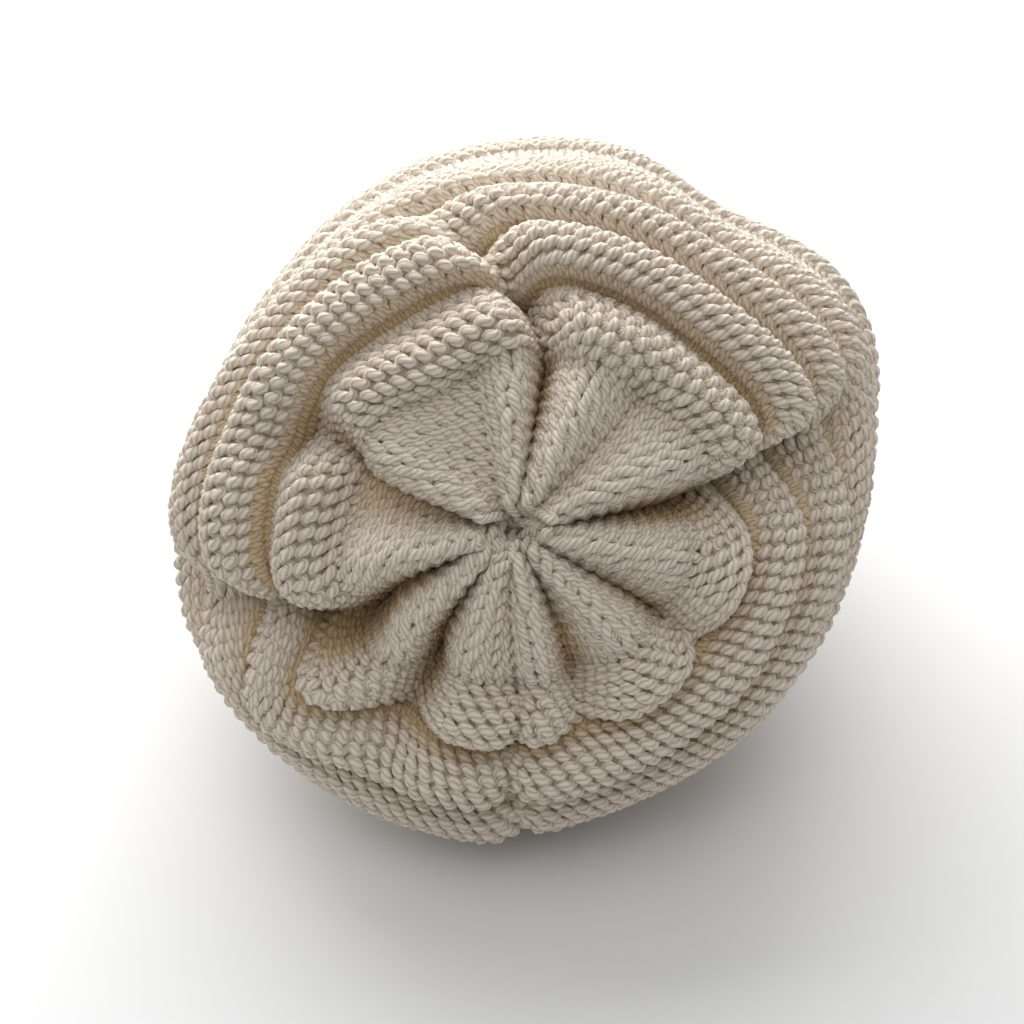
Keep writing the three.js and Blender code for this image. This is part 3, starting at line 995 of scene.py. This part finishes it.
class KnitWelts(bpy.types.Operator):
    """Knits the bag, one piece for each welt with the knit rows below it"""
    bl_idname = "beanie.knit_welts"
    bl_label = "Knit welts"

    def execute(self, context):
        knit = context.scene.beanie_knit
        core_angles = np.linspace(0, 360, BAG_CORE_STEPS, endpoint=False)
        for welt in range(WELT_COUNT):
            first = BRIM_TOP_ROW + welt * WELT_PITCH_ROWS
            last = first + WELT_PITCH_ROWS
            rows = even_rows(first, last, ROWS_PER_WELT, knit.middle)
            middle_row = rows[ROWS_PER_WELT // 2].middle
            length = spaced_angles(0, 360, middle_row, knit.middle, np.zeros(1))[1]
            count = round(length / knit.bag_stitch)
            paths = []
            for place, tables in enumerate(rows):
                purl = place in PURL_PLACES
                start = 0.5 * (place % 2) if purl else 0
                paths.append(ring_path(tables, knit.middle, count, purl, start))
            core_rows = np.linspace(first, last - CORE_GAP_ROWS, WALL_CORE_ROWS)
            knitted_piece(f"welt_{welt + 1}_knit", "ridged_body", paths, core_angles, core_rows)
        return {"FINISHED"}


class KnitCrown(bpy.types.Operator):
    """Knits the gathered crown, petal by petal along each row"""
    bl_idname = "beanie.knit_crown"
    bl_label = "Knit crown"

    def execute(self, context):
        knit = context.scene.beanie_knit
        paths = []
        for tables in even_rows(CROWN_ROW, CROWN_YARN_END, CROWN_ROWS, knit.middle):
            petals = [petal_path(fold, after, tables, knit.middle, knit.crown_stitch)
                      for fold, after in zip(FOLDS, FOLDS[1:] + FOLDS[:1])]
            paths.append(joined_path(petals))
        core_angles = np.linspace(0, 360, CROWN_CORE_STEPS, endpoint=False)
        core_rows = np.linspace(CROWN_ROW, CROWN_CORE_END, CROWN_CORE_ROWS)
        knitted_piece("crown_knit", "crown", paths, core_angles, core_rows)
        return {"FINISHED"}


# Soft lights in metres, the share of the sky's light at the horizon, and the width of the film
KEY_SIZE = 1.5
KEY_PLACE = (-0.3, 1.15, 0.8)
TOP_SIZE = 0.9
TOP_PLACE = (-0.1, -0.45, 1.3)
HORIZON_SHARE = 0.05
FILM_WIDTH = 36


def add_lamp(name, power, size, place, target):
    """A square soft light that faces a point."""
    light = bpy.data.lights.new(name, "AREA")
    light.size = size
    light.energy = power
    lamp = bpy.data.objects.new(name, light)
    lamp.location = place
    lamp.rotation_euler = (target - lamp.location).to_track_quat("-Z", "Y").to_euler()
    bpy.context.scene.collection.objects.link(lamp)


def soft_sky(strength):
    """An even sky that is dimmer towards the horizon."""
    world = bpy.data.worlds.new("soft_sky")
    world.use_nodes = True
    tree = world.node_tree
    way = add_node(tree, "ShaderNodeSeparateXYZ")
    put(tree, add_node(tree, "ShaderNodeTexCoord").outputs["Generated"], way.inputs["Vector"])
    height = calc(tree, "MAXIMUM", way.outputs["Z"], 0.0)
    level = calc(tree, "MULTIPLY_ADD", height, 1 - HORIZON_SHARE, HORIZON_SHARE)
    background = tree.nodes["Background"]
    background.inputs["Color"].default_value = (1, 1, 1, 1)
    put(tree, calc(tree, "MULTIPLY", level, strength), background.inputs["Strength"])
    return world


class LayStage(bpy.types.Operator):
    """Lays the floor and sets the light and the camera"""
    bl_idname = "beanie.lay_stage"
    bl_label = "Lay stage"

    def execute(self, context):
        scene = context.scene
        stage = scene.beanie_stage
        half = stage.floor_size / 2
        mesh = bpy.data.meshes.new("floor")
        corners = [(-half, -half, 0), (half, -half, 0), (half, half, 0), (-half, half, 0)]
        mesh.from_pydata(corners, [], [(0, 1, 2, 3)])
        mesh.materials.append(floor_material(stage))
        floor = bpy.data.objects.new("floor", mesh)
        scene.collection.objects.link(floor)
        scene.world = soft_sky(stage.sky_strength)
        target = Vector(stage.target)
        add_lamp("key_light", stage.key_power, KEY_SIZE, KEY_PLACE, target)
        add_lamp("top_light", stage.top_power, TOP_SIZE, TOP_PLACE, target)
        lens = bpy.data.cameras.new("camera")
        lens.lens = stage.lens
        lens.sensor_width = FILM_WIDTH
        camera = bpy.data.objects.new("camera", lens)
        away = Vector((0, -math.cos(stage.camera_elevation), math.sin(stage.camera_elevation)))
        camera.location = target + away * stage.camera_distance
        camera.rotation_euler = (-away).to_track_quat("-Z", "Y").to_euler()
        scene.collection.objects.link(camera)
        scene.camera = camera
        scene.view_settings.view_transform = "Standard"
        return {"FINISHED"}


class BeaniePanel(bpy.types.Panel):
    """Lists the settings and the steps of the beanie"""
    bl_idname = "VIEW3D_PT_beanie"
    bl_label = "Slouchy Beanie"
    bl_space_type = "VIEW_3D"
    bl_region_type = "UI"
    bl_category = "Beanie"

    def draw(self, context):
        for group in (context.scene.beanie_yarn, context.scene.beanie_knit, context.scene.beanie_stage):
            box = self.layout.box()
            for name in group.__annotations__:
                box.prop(group, name)
        for operator in OPERATORS:
            self.layout.operator(operator.bl_idname)


OPERATORS = (KnitBrimBand, KnitWelts, KnitCrown, LayStage)
GROUPS = {"beanie_yarn": YarnSettings, "beanie_knit": KnitSettings, "beanie_stage": StageSettings}
CLASSES = (*GROUPS.values(), *OPERATORS, BeaniePanel)


def register():
    """Registers the classes and hangs the settings on the scene."""
    for item in CLASSES:
        bpy.utils.register_class(item)
    for name, group in GROUPS.items():
        setattr(bpy.types.Scene, name, bpy.props.PointerProperty(type=group))


def unregister():
    """Takes the settings off the scene and unregisters the classes."""
    for name in GROUPS:
        delattr(bpy.types.Scene, name)
    for item in reversed(CLASSES):
        bpy.utils.unregister_class(item)


def main():
    """Knits the beanie and lays its stage."""
    register()
    bpy.ops.beanie.knit_brim_band()
    bpy.ops.beanie.knit_welts()
    bpy.ops.beanie.knit_crown()
    bpy.ops.beanie.lay_stage()


if __name__ == "__main__":
    main()
